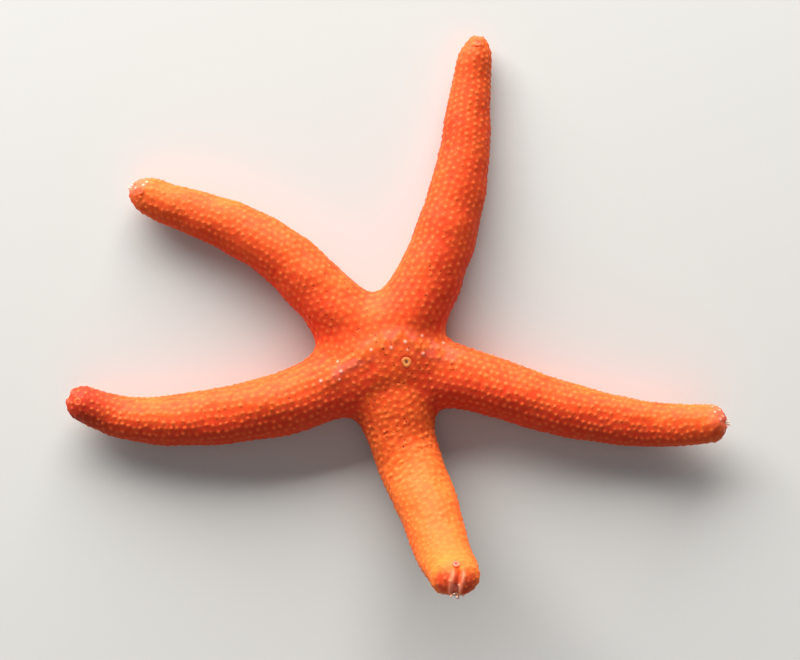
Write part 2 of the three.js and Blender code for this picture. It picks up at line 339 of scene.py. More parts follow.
def paint(tree, colour, *coats):
    # lays coats of colour over the first colour, each by its share
    for share, coat in coats:
        layers = [linearColour(c) if isinstance(c, str) else c for c in (colour, coat)]
        inputs = {0: readShare(tree, share), 6: layers[0], 7: layers[1]}
        colour = addNode(tree, "Mix", inputs, data_type="RGBA").outputs[2]
    return colour


def fineGrain(tree, place, grainMm, strength, depthMm):
    # an uneven surface; gives the unevenness and the normal it leads to
    grain = addNode(tree, "TexNoise", {"Vector": place, "Scale": 1000 / grainMm}).outputs["Fac"]
    inputs = {"Height": grain, "Strength": strength, "Distance": depthMm * mm}
    return grain, addNode(tree, "Bump", inputs).outputs["Normal"]


skinLook = {
    "red": "#D9441B",
    "orange": "#E75A21",       # the body's main colour
    "crest": "#F0782D",        # thin skin over the crests, and painted light on the raised arm, the back-left arm and the disc's ridge, which face the key light
    "hollow": "#CC3B19",       # painted shade between the spines and in the raised arm's fold
    "flank": "#E03820",        # painted shade: redder sides, most on those facing away from the key light
    "deep": "#BC2E1A",         # deeper red of some arms, partly painted shade at the left arm's end
    "under": "#EC8B4B",        # paler underside
    "tipRed": "#C43220",       # darker red round the furrow on an arm's end, partly painted shade on the end face
    "pore": "#96301A",
    "spineTip": "#F0703A",
    "underTip": "#F2A878",
    "blush": "#E0604E",        # pinkish skin along the disc's ridge, and a painted highlight on the lit sides of two arms' ends
    # pinkish-white spine tips: painted glints
    "pinkGlintTip": "#EFB5A6",
    "grooveEdge": "#ED9A80",
    "frontFlankShade": 0.75,        # painted shade: how red the sides are on the raised arm's side of the body, away from the key light
    # how red the raised arm's sides are, partly painted shade
    "raisedFlank": 0.5,
    "armDeep": (0.2, 0.0, 0.0, 0.0, 0.0),      # share of deep red on each arm
    "endDeep": (0.1, 0.0, 1.0, 0.0, 0.0),      # and towards its end; on the left arm this is mostly painted shade
    "blotchMm": 9.0,
    "poreSpacingMm": 1.5,
    "porePatchMm": 4.0,
    "grainMm": 0.35,
    "grainDepth": 0.3,         # of the grain against the pores
    "bumpMm": 0.3,
    "roughness": 0.58,
    "roughnessRange": 0.1,
    "gloss": 0.18,
    "depthMm": 3.6,            # how far red light travels in the skin
    "depthShare": 0.65,
    "spineDepthShare": 0.1,
}


def skinMaterial(name, onSpines):
    # leathery wet skin over a chalky net: nearly matte, with red light passing through its thin parts
    look = skinLook
    material, tree, shader, place = newMaterial(name)
    scale = 1000 / look["blotchMm"]
    blotches = addNode(tree, "TexNoise",
                       {"Vector": place, "Scale": scale, "Detail": 3.0, "Roughness": 0.6}).outputs["Fac"]
    colour = paint(tree, look["red"], ((blotches, 0.35, 0.65), look["orange"]))
    # these fields paint shade between the spines, on the sides and on the ends, and painted light on the
    # crests
    for field in ("hollow", "flank", "deep", "crest", "blush", "under", "tipRed", "grooveEdge"):
        colour = paint(tree, colour, (field, look[field]))
    pores = addNode(tree, "TexVoronoi", {"Vector": place, "Scale": 1000 / look["poreSpacingMm"]})
    patches = addNode(tree, "TexNoise", {"Vector": place, "Scale": 1000 / look["porePatchMm"]})
    poreShare = readShare(tree, (pores.outputs["Distance"], 0.22, 0.10))
    for limit in ((patches.outputs["Fac"], 0.48, 0.58), "pores"):
        factors = {0: poreShare, 1: readShare(tree, limit)}
        poreShare = addNode(tree, "Math", factors, operation="MULTIPLY").outputs[0]
    colour = paint(tree, colour, (poreShare, look["pore"]))
    if onSpines:
        tip = paint(tree, look["spineTip"], ("under", look["underTip"]))
        # pale tips, and pinkish-white painted glints on some of them
        colour = paint(tree, colour, ("tipShare", tip), ("pinkShare", look["pinkGlintTip"]))
    scale = 1000 / look["grainMm"]
    height = grain = addNode(tree, "TexNoise", {"Vector": place, "Scale": scale}).outputs["Fac"]
    for operation, value in (("MULTIPLY", look["grainDepth"]), ("SUBTRACT", poreShare)):
        height = addNode(tree, "Math", {0: height, 1: value}, operation=operation).outputs[0]
    relief = {"Height": height, "Strength": 0.5, "Distance": look["bumpMm"] * mm}
    bump = addNode(tree, "Bump", relief)
    least, most = [look["roughness"] + side * look["roughnessRange"] for side in (-1, 1)]
    roughness = addNode(tree, "MapRange", {"Value": grain, "To Min": least, "To Max": most})
    setInputs(tree, shader, {
        "Base Color": colour,
        "Normal": bump.outputs["Normal"],
        "Roughness": roughness.outputs["Result"],
        "IOR": 1.38,
        "Specular IOR Level": look["gloss"],
        "Subsurface Weight": look["spineDepthShare"] if onSpines else look["depthShare"],
        "Subsurface Radius": (1.0, 0.2, 0.1),
        "Subsurface Scale": look["depthMm"] * mm,
    })
    return material


# the skin

skinShape = {
    "cell": 0.55,              # mm, size of the mesh's cells
    "closeSlits": 0.25,        # mm, closes the slits between the solids
    "closePockets": 0.45,      # mm, closes the pockets of the plates
    "spineDepth": 0.33,        # mm, how far the skin lies inside the spines' tips
    "soleDepth": 0.26,
    "grooveShare": 0.6,        # of that depth in the grooves and by the mouth
    "undulation": 0.16,
    "undulationMm": 11.0,
    "moundHeight": 0.08,
    "moundMm": 0.7,
    "hollowDepth": 0.07,
    "foldDepth": 0.65,         # fold where the raised arm leaves the disc
    "foldPlace": 7.3,
    "foldCurve": 0.035,
    "foldMm": 2.6,
    "bulge": 0.3,              # swelling of the raised arm, its place beyond the fold and its length
    "bulgePlace": 6.5,
    "bulgeMm": 4.5,
    "baseWidth": 9.0,          # of the fold and the swelling, to each side
    "ridgeHeight": 0.45,       # low ridge over the disc, from the left arm to the right arm
    "ridgeMm": 2.6,
    "ridgeLine": ((-16, -6), (-10.5, -1.4), (-4.7, 2.4), (1, 6), (5, 6.6), (15, 2.9), (24, 0.7)),
    "ridged": (-20, -12, 16, 26),                  # mm across the disc, where it starts and ends
    "wrinkleHeight": 0.14,
    "wrinkleMm": 2.1,
    "wrinkled": (10, 15, 34, 46),                  # mm along the raised arm, where they start and end
    "dimpleHeight": 0.035,
    "dimpleMm": 2.0,
    "furrowDepth": 0.75,       # furrow up each arm's end, from the groove to the tip plate
    "furrowMm": 0.6,
    "closedFurrow": 0.25,      # share of furrow and lips on the arms that lie down
    "lipPlace": 1.4,           # lips on both sides of the furrow
    "lipHeight": 0.3,
    "lipMm": 0.5,
    "collar": 0.2,             # round each tip plate
    "sieveRim": 0.18,          # round the sieve plate
    "sieveSink": 0.25,         # under it
    "lowest": 0.3,             # mm above the ground
}

plateNames = ["sieve_plate"] + [arm["name"] + "_tip_plate" for arm in arms]
fleshNames = [name for name in sorted(cadNodes) if name not in plateNames]


def addObject(name, mesh):
    piece = bpy.data.objects.new(name, mesh)
    bpy.context.scene.collection.objects.link(piece)
    return piece


def readVectors(mesh, key):
    flat = np.zeros(len(mesh.vertices) * 3, np.float32)
    mesh.vertices.foreach_get(key, flat)
    return flat.reshape(-1, 3).astype(float)


def writePoints(mesh, points):
    mesh.vertices.foreach_set("co", (points * mm).astype(np.float32).ravel())
    mesh.update()


def addField(mesh, name, values):
    field = mesh.attributes.new(name, "FLOAT", "POINT")
    field.data.foreach_set("value", np.asarray(values, np.float32).ravel())


def relax(mesh, times, factor):
    shell = bmesh.new()
    shell.from_mesh(mesh)
    for _ in range(times):
        bmesh.ops.smooth_vert(shell, verts=shell.verts, factor=factor,
                              use_axis_x=True, use_axis_y=True, use_axis_z=True)
    shell.to_mesh(mesh)
    shell.free()


def makeSkinMesh():
    # swollen copies of all the solids, joined and remeshed as one closed form
    joined = bmesh.new()
    for name in sorted(cadNodes):
        push = skinShape["closePockets"] if name in plateNames else skinShape["closeSlits"]
        shell = bmesh.new()
        shell.from_mesh(cadNodes[name].data)
        bmesh.ops.remove_doubles(shell, verts=shell.verts, dist=1e-6)
        shell.normal_update()
        for vert in shell.verts:
            vert.co += vert.normal * push * mm
        swollen = bpy.data.meshes.new(name + "_swollen")
        shell.to_mesh(swollen)
        shell.free()
        joined.from_mesh(swollen)
        bpy.data.meshes.remove(swollen)
    source = bpy.data.meshes.new("joined")
    joined.to_mesh(source)
    joined.free()
    rough = addObject("rough_skin", source)
    cells = rough.modifiers.new("cells", "REMESH")
    cells.mode = "VOXEL"
    cells.voxel_size = skinShape["cell"] * mm
    mesh = bpy.data.meshes.new_from_object(rough.evaluated_get(bpy.context.evaluated_depsgraph_get()))
    bpy.data.objects.remove(rough)
    return mesh


skinMesh = makeSkinMesh()
print("skin cells:", len(skinMesh.polygons))
for _ in range(2):
    relax(skinMesh, 3, 0.5)
    owner, along, across, up = toStraight(readVectors(skinMesh, "co") / mm)
    along, across, up = snapToBody(owner, along, across, up)
    writePoints(skinMesh, fromStraight(owner, along, across, up))
relax(skinMesh, 1, 0.3)
print("skin fitted to the body")

seed = 7
rng = np.random.default_rng(seed)


def softNoise(points, size, seed):
    # smooth random waves about this many millimetres long, mostly between -1 and 1
    waves = np.random.default_rng(seed)
    total = np.zeros(len(points))
    for _ in range(9):
        wave = waves.normal(size=3)
        wave *= 2 * math.pi / size / np.linalg.norm(wave) * waves.uniform(0.7, 1.4)
        total += np.sin(points @ wave + waves.uniform(0, 2 * math.pi))
    return total / 3


def armNumbers(owner, value):
    return np.array([value(arm) for arm in arms])[owner]


points = readVectors(skinMesh, "co") / mm
normals = readVectors(skinMesh, "normal")
owner, along, across, up = toStraight(points)
armLength = armNumbers(owner, lambda arm: arm["length"])
share = np.clip(along / armLength, 0, 1)
armWidth = np.zeros(len(along))
height = np.zeros(len(along))
for arm, mine in eachArm(owner):
    armWidth[mine] = halfWidth(arm, along[mine])
    height[mine] = up[mine] + axisHeight(arm, along[mine])
grooveHalf = starBody["grooveHalfWidth"] * (1 + (starBody["grooveTipFactor"] - 1) * share)
turn = (np.degrees(np.arctan2(up, across)) - 90 + 180) % 360 - 180
fromTop = np.abs(turn)                              # 0 on the back, 180 underneath
straight = straightPoints(owner, along, across, up)
fromMouth = np.hypot(straight[:, 0], straight[:, 1])
inGroove = (np.abs(across) < grooveHalf + 0.9) & (fromTop > 90) & (height < 6)
nearMouth = (fromMouth < starBody["mouthRadius"] + 1.2) & (height < 6)

soleShare = smoothStep(fromTop, 118, 140)
depth = skinShape["spineDepth"] * (1 - soleShare) + skinShape["soleDepth"] * soleShare
depth *= np.where(inGroove | nearMouth, skinShape["grooveShare"], 1)
relief = -depth
relief += skinShape["undulation"] * softNoise(points, skinShape["undulationMm"], 3) * (1 - soleShare)

# the fold, swelling and wrinkles where the raised arm leaves the disc
outward, sideways = turnTo(arms[raisedArm], straight[:, 0], straight[:, 1])
pastFold = outward - skinShape["foldPlace"] - skinShape["foldCurve"] * sideways**2
onBack = smoothStep(up, -2.0, 4.0)
nearBase = (fromMouth < 24) * bell(sideways, skinShape["baseWidth"])
fold = bell(pastFold, skinShape["foldMm"]) * onBack * nearBase
relief -= skinShape["foldDepth"] * fold
swell = bell(pastFold - skinShape["bulgePlace"], skinShape["bulgeMm"])
relief += skinShape["bulge"] * swell * onBack * nearBase
onRaised = owner == raisedArm
waves = np.sin(2 * math.pi * (along + 0.5 * softNoise(points, 6.0, 5)) / skinShape["wrinkleMm"])
waves *= smoothStep(softNoise(points, 4.5, 11), -0.8, 1.0)
wrinkles = waves * between(along, skinShape["wrinkled"]) * onBack * onRaised
relief += skinShape["wrinkleHeight"] * wrinkles
relief += skinShape["dimpleHeight"] * softNoise(points, skinShape["dimpleMm"], 13) * (1 - soleShare)

# the furrow up an arm's end, between two lips
plateUp = armNumbers(owner, lambda arm: starBody["topRise"] * halfWidth(arm, arm["length"])
                     * float(tipFactor(arm, arm["length"] - starBody["plateInset"])))
onEnd = smoothStep(armLength - along, 2.6, 1.2)
belowPlate = smoothStep(plateUp - up, 0.8, 2.6)
furrow = bell(across, skinShape["furrowMm"]) * onEnd * belowPlate
lips = bell(np.abs(across) - skinShape["lipPlace"], skinShape["lipMm"]) * onEnd * belowPlate
openShare = np.where(onRaised, 1.0, skinShape["closedFurrow"])
furrow *= openShare
lips *= openShare
relief += skinShape["lipHeight"] * lips - skinShape["furrowDepth"] * furrow

# the low ridge over the disc
ridgeX, ridgeY = np.array(skinShape["ridgeLine"], float).T
ridgeLevel = np.interp(straight[:, 0], ridgeX, ridgeY)
ridgeShare = bell(straight[:, 1] - ridgeLevel, skinShape["ridgeMm"]) * onBack
ridgeShare *= between(straight[:, 0], skinShape["ridged"])
relief += skinShape["ridgeHeight"] * ridgeShare

# where the spines stand

spineLayout = {
    "rootSpacing": 2.2,        # mm between spines on an arm's thick part
    "tipSpacing": 1.8,
    "discSpacing": 2.0,
    "rowShare": 0.88,          # distance between rows as a share of the spacing
    "girthShare": 0.88,        # where the rows are counted, as a share of the arm's half-width
    "crowding": 0.14,          # how much closer they stand along a row towards the tip
    "looseness": 0.3,
    "discLooseness": 0.6,
    "closest": 0.8,            # share of the spacing
    "capLift": 0.85,           # mm from the middle of a tip plate out to its cap
    "capGap": 1.7,             # mm kept free round a cap, and round the sieve plate
    "sieveGap": 2.5,
}


def plateMiddle(name):
    low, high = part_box(name)
    return (np.array(low) + np.array(high)) / 2 / mm


tipCaps = []
for arm in arms:
    middle = plateMiddle(arm["name"] + "_tip_plate")
    inner = armFrame(arm, np.array([arm["length"] - arm["rounding"]]))[0][0]
    out = middle - inner
    out /= np.linalg.norm(out)
    tipCaps.append((middle + out * spineLayout["capLift"], out))
sieveMiddle = plateMiddle("sieve_plate")


def chooseSpineRoots():
    layout = spineLayout
    spacing = layout["rootSpacing"] + (layout["tipSpacing"] - layout["rootSpacing"]) * share**1.5
    onDisc = 1 - smoothStep(along, 12, 20)
    spacing += (layout["discSpacing"] - spacing) * onDisc
    around = np.radians(turn) * layout["girthShare"] * armWidth
    rowWidth = layout["rowShare"] * layout["rootSpacing"]
    row = np.round(around / rowWidth)
    shifted = along * (1 + layout["crowding"] * share) - layout["rootSpacing"] * 0.5 * (row % 2)
    gapAlong = shifted - np.round(shifted / layout["rootSpacing"]) * layout["rootSpacing"]
    gapAround = around - row * rowWidth
    fitness = np.hypot(gapAlong, gapAround) + rng.normal(0, layout["looseness"], len(along))
    fitness += layout["discLooseness"] * onDisc
    allowed = ~inGroove & ~nearMouth & ~((onEnd * belowPlate > 0.2) & (np.abs(across) < 1.9))
    for middle, out in tipCaps:
        allowed &= np.linalg.norm(points - middle, axis=1) > layout["capGap"]
    allowed &= np.linalg.norm(points[:, :2] - sieveMiddle[:2], axis=1) > layout["sieveGap"]
    order = np.argsort(fitness)
    order = order[allowed[order]]
    cell = layout["rootSpacing"]
    cells = np.floor(points / cell).astype(int)
    grid = {}
    chosen = []
    steps = [(x, y, z) for x in (-1, 0, 1) for y in (-1, 0, 1) for z in (-1, 0, 1)]
    for i in order:
        limit = (spacing[i] * layout["closest"]) ** 2
        key = cells[i]
        p = points[i]
        near = [q for s in steps for q in grid.get((key[0] + s[0], key[1] + s[1], key[2] + s[2]), ())]
        if any((q[0] - p[0]) ** 2 + (q[1] - p[1]) ** 2 + (q[2] - p[2]) ** 2 < limit for q in near):
            continue
        grid.setdefault(tuple(key), []).append(p)
        chosen.append(i)
    return np.array(chosen)


roots = chooseSpineRoots()
print("spines:", len(roots))

rootTree = KDTree(len(roots))
for k, i in enumerate(roots):
    rootTree.insert(points[i], k)
rootTree.balance()
gapToSpine = np.array([rootTree.find(p)[2] for p in points])
mound = bell(gapToSpine, skinShape["moundMm"])
# how far a point lies between spines, used for the relief and for painted shade
hollow = smoothStep(gapToSpine, 0.7, 1.35)
relief += skinShape["moundHeight"] * mound * (1 - 0.7 * soleShare)
relief -= skinShape["hollowDepth"] * hollow * (1 - soleShare)

# a rim round the sieve plate, a collar round each tip plate
fromSieve = np.linalg.norm(points[:, :2] - sieveMiddle[:2], axis=1)
overSieve = (fromSieve < 4) & (up > 0)
relief += skinShape["sieveRim"] * overSieve * bell(fromSieve - 1.95, 0.6)
relief -= skinShape["sieveSink"] * overSieve * smoothStep(fromSieve, 1.6, 0.9)
tipCollar = np.zeros(len(points))
for middle, out in tipCaps:
    distance = np.linalg.norm(points - middle, axis=1)
    tipCollar = np.maximum(tipCollar, 1 - smoothStep(distance, 0.9, 2.4))
relief += skinShape["collar"] * tipCollar

skinPoints = points + normals * relief[:, None]
skinPoints[:, 2] = np.maximum(skinPoints[:, 2], skinShape["lowest"])
writePoints(skinMesh, skinPoints)
skinMesh.shade_smooth()

# what the skin's colours follow, from 0 to 1; several are painted light and shade
under = smoothStep(fromTop, 105, 150) * 0.8
edgeGap = np.abs(np.abs(across) - grooveHalf)
grooveEdge = bell(edgeGap, 0.7) * (fromTop > 90) * 0.7
# lighter crests; on the raised arm, the back-left arm and the disc's ridge this is painted light
crest = 0.25 * mound + 0.3 * np.maximum(wrinkles, 0) + 0.25 * smoothStep(share, 0.75, 1.0)
crest += 0.4 * onRaised * smoothStep(along, 12, 38) + 0.12 * (owner == 1) * smoothStep(along, 20, 50)
blush = 0.75 * ridgeShare * smoothStep(softNoise(points, 5.0, 17), -0.6, 0.9)
# painted highlight on the sides of two arms' ends that face the key light
paintedEndHighlight = np.isin(owner, (1, 4)) * smoothStep(share, 0.945, 0.99) * smoothStep(normals[:, 1], -0.5, 0.3)
blush = np.clip(blush + 0.6 * paintedEndHighlight, 0, 1)
# darker red on each arm's end below its tip plate, partly painted shade
endRedAndShade = onEnd * bell(across, 5.0) * smoothStep(plateUp - up, 2.0, 4.5)
raisedEnd = smoothStep(armLength - along, 3.8, 1.4) * smoothStep(plateUp - up, 0.4, 3.4)
endRedAndShade = np.where(onRaised, raisedEnd, endRedAndShade)
away = smoothStep(along, 10, 32)
# painted shade: redder on the sides facing away from the key light, and red on both sides of the raised arm
flank = skinLook["frontFlankShade"] * smoothStep(-normals[:, 1], -0.3, 0.45) * ~onRaised
flank += skinLook["raisedFlank"] * smoothStep(fromTop, 42, 85) * onRaised
# deeper red on some arms; on the left arm's end it is mostly painted shade
deep = np.array(skinLook["armDeep"])[owner] * away
deep += np.array(skinLook["endDeep"])[owner] * smoothStep(share, 0.76, 0.96)
skinFields = {
    "under": under * (1 - endRedAndShade),
    "crest": np.clip(crest + 0.3 * ridgeShare, 0, 1) * (1 - 0.8 * deep),
    # painted shade between the spines and in the fold where the raised arm leaves the disc
    "hollow": np.clip(0.5 * hollow + 0.25 * fold, 0, 1) * (1 - under),
    "flank": flank * (1 - under),
    "deep": deep * (1 - under),
    "tipRed": 0.72 * endRedAndShade * (1 - lips),
    "blush": blush,
    "grooveEdge": np.maximum(grooveEdge, 0.6 * lips),
    "pores": (1 - smoothStep(along, 26, 60) * 0.75) * (1 - under),
}
for name, values in skinFields.items():
    addField(skinMesh, name, values)

skin = addObject("skin", skinMesh)
skinMesh.materials.clear()
skinMesh.materials.append(skinMaterial("sea_star_skin", False))
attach(skin, "root")
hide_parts(*fleshNames)
print("skin done")

skinShell = bmesh.new()
skinShell.from_mesh(skinMesh)
skinTree = BVHTree.FromBMesh(skinShell)
skinShell.faces.ensure_lookup_table()
faceCorner = np.array([face.verts[0].index for face in skinShell.faces])
skinShell.free()


def onSkin(places):
    # the nearest points of the skin, and the skin vertex beside each
    found = np.zeros_like(places)
    beside = np.zeros(len(places), int)
    for n, place in enumerate(places * mm):
        spot, _, face, _ = skinTree.find_nearest(place)
        found[n] = spot
        beside[n] = faceCorner[face]
    return found / mm, beside


# small shapes, made once and set many times

bakePatch = 0.0015             # half the size of one small shape's patch on the bake map
lowestLevel = 0.02             # mm, how near the ground the small shapes come


def spunShell(profile, sides, facing):
    # a profile of (radius, level) that ends on the axis, spun round; it faces up (1) or down (-1)
    shell = bmesh.new()
    line = [shell.verts.new((radius, 0, level)) for radius, level in profile]
    edges = [shell.edges.new(pair) for pair in zip(line, line[1:])]
    bmesh.ops.spin(shell, geom=line + edges, cent=(0, 0, 0), axis=(0, 0, 1), dvec=(0, 0, 0),
                   angle=2 * math.pi, steps=sides, use_merge=True, use_duplicate=False)
    bmesh.ops.remove_doubles(shell, verts=shell.verts, dist=1e-5)
    bmesh.ops.recalc_face_normals(shell, faces=shell.faces)
    if facing * sum(face.normal.z * face.calc_area() for face in shell.faces) < 0:
        bmesh.ops.reverse_faces(shell, faces=shell.faces)
    return shell


def spunTemplate(shape):
    shell = spunShell(shape["profile"], shape["sides"], 1)
    bmesh.ops.triangulate(shell, faces=shell.faces)
    corners = np.array([vert.co[:] for vert in shell.verts])
    faces = np.array([[vert.index for vert in face.verts] for face in shell.faces])
    shell.free()
    return corners, faces


def turnedFrames(normal, spin):
    # two directions across each normal, turned round it
    helper = np.where(np.abs(normal[:, 2:3]) < 0.9, [[0.0, 0.0, 1.0]], [[1.0, 0.0, 0.0]])
    first = np.cross(helper, normal)
    first /= np.linalg.norm(first, axis=1, keepdims=True)
    second = np.cross(normal, first)
    c, s = np.cos(spin)[:, None], np.sin(spin)[:, None]
    return first * c + second * s, second * c - first * s


def bakePlaces(owner, along, across, up):
    # an unwrap of the body: a strip for each arm, across it by angle and up it by distance
    turn = (np.degrees(np.arctan2(up, across)) + 90) % 360 / 360
    return np.stack([(owner + 0.04 + 0.92 * turn) / len(arms), 0.02 + 0.0095 * np.maximum(along, 0)], -1)


def setMany(name, template, points, bake, fields, material):
    # points holds every copy's vertices, one row a copy
    points[..., 2] = np.maximum(points[..., 2], lowestLevel)
    corners, faces = template
    count = len(points)
    allFaces = (faces[None] + np.arange(count)[:, None, None] * len(corners)).reshape(-1, 3)
    mesh = bpy.data.meshes.new(name)
    mesh.vertices.add(count * len(corners))
    mesh.loops.add(allFaces.size)
    mesh.polygons.add(len(allFaces))
    mesh.vertices.foreach_set("co", (points * mm).astype(np.float32).ravel())
    mesh.loops.foreach_set("vertex_index", allFaces.ravel().astype(np.int32))
    mesh.polygons.foreach_set("loop_start", np.arange(0, allFaces.size, 3, dtype=np.int32))
    mesh.update(calc_edges=True)
    mesh.validate()
    for key, values in fields.items():
        addField(mesh, key, values)
    patch = corners[:, :2] / np.abs(corners[:, :2]).max() * bakePatch
    uv = (bake[:, None, :] + patch[None]).reshape(-1, 2)
    mesh.uv_layers.new(name="OFBake").data.foreach_set("uv", uv[allFaces.ravel()].astype(np.float32).ravel())
    mesh.shade_smooth()
    mesh.materials.append(material)
    piece = addObject(name, mesh)
    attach(piece, "root")
    print(name + ":", count, "copies,", len(allFaces), "triangles")
    return piece


def placeCopies(corners, places, normal, width, tall, spin, bend=None):
    first, second = turnedFrames(normal, spin)
    level = corners[None, :, 2:3] * tall[:, None, None]
    made = (places[:, None, :] + first[:, None, :] * corners[None, :, 0:1] * width[:, None, None]
            + second[:, None, :] * corners[None, :, 1:2] * width[:, None, None] + normal[:, None, :] * level)
    if bend is not None:
        curve = (corners[None, :, 2:3] * (1 - corners[None, :, 2:3])) * 4
        made += first[:, None, :] * curve * bend[:, None, None]
    return made


def setRods(name, template, rods, spin, bend, material):
    # rods holds each copy's start, end, width and place on the bake map
    starts, ends, widths, bake = [np.array(values) for values in zip(*rods)]
    direction = ends - starts
    length = np.linalg.norm(direction, axis=1)
    direction /= length[:, None]
    made = placeCopies(template[0], starts, direction, widths, length, spin, bend)
    levels = np.repeat(np.clip(template[0][None, :, 2], 0, 1), len(rods), 0)
    setMany(name, template, made, bake, {"level": levels}, material)


# spines over the whole back: low domes of skin, each over one blunt spine

spineShape = {
    "sides": 8,
    "radius": 0.92,            # mm at the foot
    "height": 0.16,            # mm above the skin
    "smoothArms": 0.35,        # how much lower they are on the two back arms
    "sink": 0.03,              # mm, how far the foot lies in the skin
    "profile": [(r, 0.5 + 0.5 * math.cos(math.pi * r**1.1)) for r in (1.0, 0.8, 0.6, 0.42, 0.24, 0.0)],
    "sizes": (0.82, 1.18),     # how unlike they are, smallest and largest
    "heights": (0.75, 1.25),
    "paleness": (0.46, 0.2),   # of their tips, usual and by how much it varies
    "pinkGlintChance": 0.35,        # of a painted pink glint on a spine's tip, on the disc's ridge
    "endHighlightChance": 0.8,      # and on the painted highlight at two arms' ends
}
spineTemplate = spunTemplate(spineShape)
spineMaterial = skinMaterial("skin_covered_spines", True)

rootShare = share[roots]
size = (1.0 - 0.12 * rootShare) * rng.uniform(*spineShape["sizes"], len(roots))
onDisc = 1 - smoothStep(along[roots], 10, 24)
size *= 1 - 0.15 * onDisc + 0.35 * ridgeShare[roots]
tall = spineShape["height"] * size * (1 - 0.35 * soleShare[roots])
tall *= rng.uniform(*spineShape["heights"], len(roots))
tall *= 1 - 0.45 * onDisc * smoothStep(straight[roots, 1], 3, 12)
tall *= 1 - spineShape["smoothArms"] * np.isin(owner[roots], (0, 1)) * smoothStep(along[roots], 75, 40)
wide = spineShape["radius"] * size
paleness = np.clip(rng.normal(*spineShape["paleness"], len(roots)), 0.05, 0.95)
# painted glints: pinkish-white tips on the ridge and on the ends' painted highlight
pinkGlintChance = spineShape["pinkGlintChance"] * ridgeShare[roots] + spineShape["endHighlightChance"] * paintedEndHighlight[roots]
pinkGlint = rng.uniform(0, 1, len(roots)) < pinkGlintChance
spin = rng.uniform(0, 2 * math.pi, len(roots))
rootBake = bakePlaces(owner[roots], along[roots], across[roots], up[roots])
rootNormals = readVectors(skinMesh, "normal")[roots]
corners = spineTemplate[0]
flatCorners = corners * [1, 1, 0]

for name, members in {"spines_back": (0, 1), "spines_front": (2, 3, 4)}.items():
    mine = np.isin(owner[roots], members)
    ids = roots[mine]
    feet = placeCopies(flatCorners, skinPoints[ids], rootNormals[mine], wide[mine], tall[mine], spin[mine])
    laid, beside = onSkin(feet.reshape(-1, 3))
    lift = corners[None, :, 2:3] * tall[mine][:, None, None] - spineShape["sink"]
    made = laid.reshape(feet.shape) + rootNormals[mine][:, None, :] * lift
    tipLevel = np.clip(corners[:, 2], 0, 1) ** 1.6
    fields = {key: values[beside] for key, values in skinFields.items()}
    fields["tipShare"] = paleness[mine][:, None] * tipLevel[None]
    fields["pinkShare"] = pinkGlint[mine][:, None] * tipLevel[None] ** 2 * 0.8
    setMany(name, spineTemplate, made, rootBake[mine], fields, spineMaterial)

# tube feet in the grooves

footShape = {
    "sides": 8,
    "spacing": 1.7,            # mm along the groove
    "radius": 0.42,
    "shrink": 0.45,            # how much smaller they get towards the tip
    "profile": ((0.8, 0.0), (0.66, 0.22), (0.56, 0.5), (0.52, 0.8), (0.95, 0.92), (0.95, 0.98), (0.0, 0.955)),
    "start": 5.0,              # mm from the disc's middle
    "end": 2.0,                # mm before the arm's end
    "fromMiddle": 0.62,        # mm from the groove's middle line to each row
    "bend": 0.22,
    "lowest": 0.03,            # mm above the ground
    "atTip": 3,                # feelers at the groove's outer end
    "tipReach": (-1.4, -0.4, -1.5, -0.4, -0.4),    # mm past each arm's end
    "root": "#E07A50",
    "stem": "#E9AC8C",
    "disc": "#EDC9B2",
}


def footMaterial():
    # thin-walled, water-filled tubes: pale, soft and slightly see-through
    look = footShape
    material, tree, shader, place = newMaterial("soft_tube_feet")
    _, normal = fineGrain(tree, place, 0.3, 0.4, 0.1)
    colour = paint(tree, look["root"],
                   (("level", 0.1, 0.75), look["stem"]), (("level", 0.84, 0.93), look["disc"]))
    setInputs(tree, shader, {"Base Color": colour, "Normal": normal, "Roughness": 0.35, "IOR": 1.36,
                             "Subsurface Weight": 0.3, "Subsurface Scale": 0.0006})
    return material


def straightSpot(k, along, across, height):
    # a place given on a straight arm, where it comes to lie on the bent one
    up = height - axisHeight(arms[k], along)
    return fromStraight(np.array([k]), *[np.array([value]) for value in (along, across, up)])[0]


feet = []
for k, arm in enumerate(arms):
    length = arm["length"]
    place = footShape["start"]
    while place < length - footShape["end"]:
        t = place / length
        scale = 1 - footShape["shrink"] * t
        rise = float(smoothStep(place, length - starBody["grooveRiseLength"], length + 1))
        ceiling = starBody["grooveDepth"] * (1 - 0.5 * t) + starBody["grooveRise"] * rise
        for side in (-1, 1):
            shift = place + 0.25 * side * footShape["spacing"] + rng.uniform(-0.2, 0.2)
            reach = rng.uniform(-0.7, 0.1) if k == raisedArm else rng.uniform(-0.1, 0.05)
            splay = rng.uniform(0.7, 1.15) * scale * side
            row = footShape["fromMiddle"] * scale * side
            feet.append((straightSpot(k, shift, row, ceiling - 0.1),
                         straightSpot(k, shift + rng.uniform(-0.7, 0.7), splay, reach),
                         footShape["radius"] * scale * rng.uniform(0.9, 1.1),
                         bakePlaces(k, shift, row, -3.0)))
        place += footShape["spacing"] * scale
for k, arm in enumerate(arms):
    for n in range(footShape["atTip"]):
        side = (n / (footShape["atTip"] - 1) - 0.5) * 2
        low = 0.5 + 0.7 * (n % 2)
        reach = arm["length"] + footShape["tipReach"][k] + rng.uniform(-0.3, 0.3)
        feet.append((straightSpot(k, arm["length"] - 2.4, 0.5 * side, low + 0.9),
                     straightSpot(k, reach, 0.9 * side, low + rng.uniform(-0.6, 0.2)),
                     footShape["radius"] * rng.uniform(0.7, 0.85),
                     bakePlaces(k, arm["length"], 0.6 * side, -3.0)))
for _, end, _, _ in feet:
    end[2] = max(end[2], footShape["lowest"])
spin = rng.uniform(0, 2 * math.pi, len(feet))
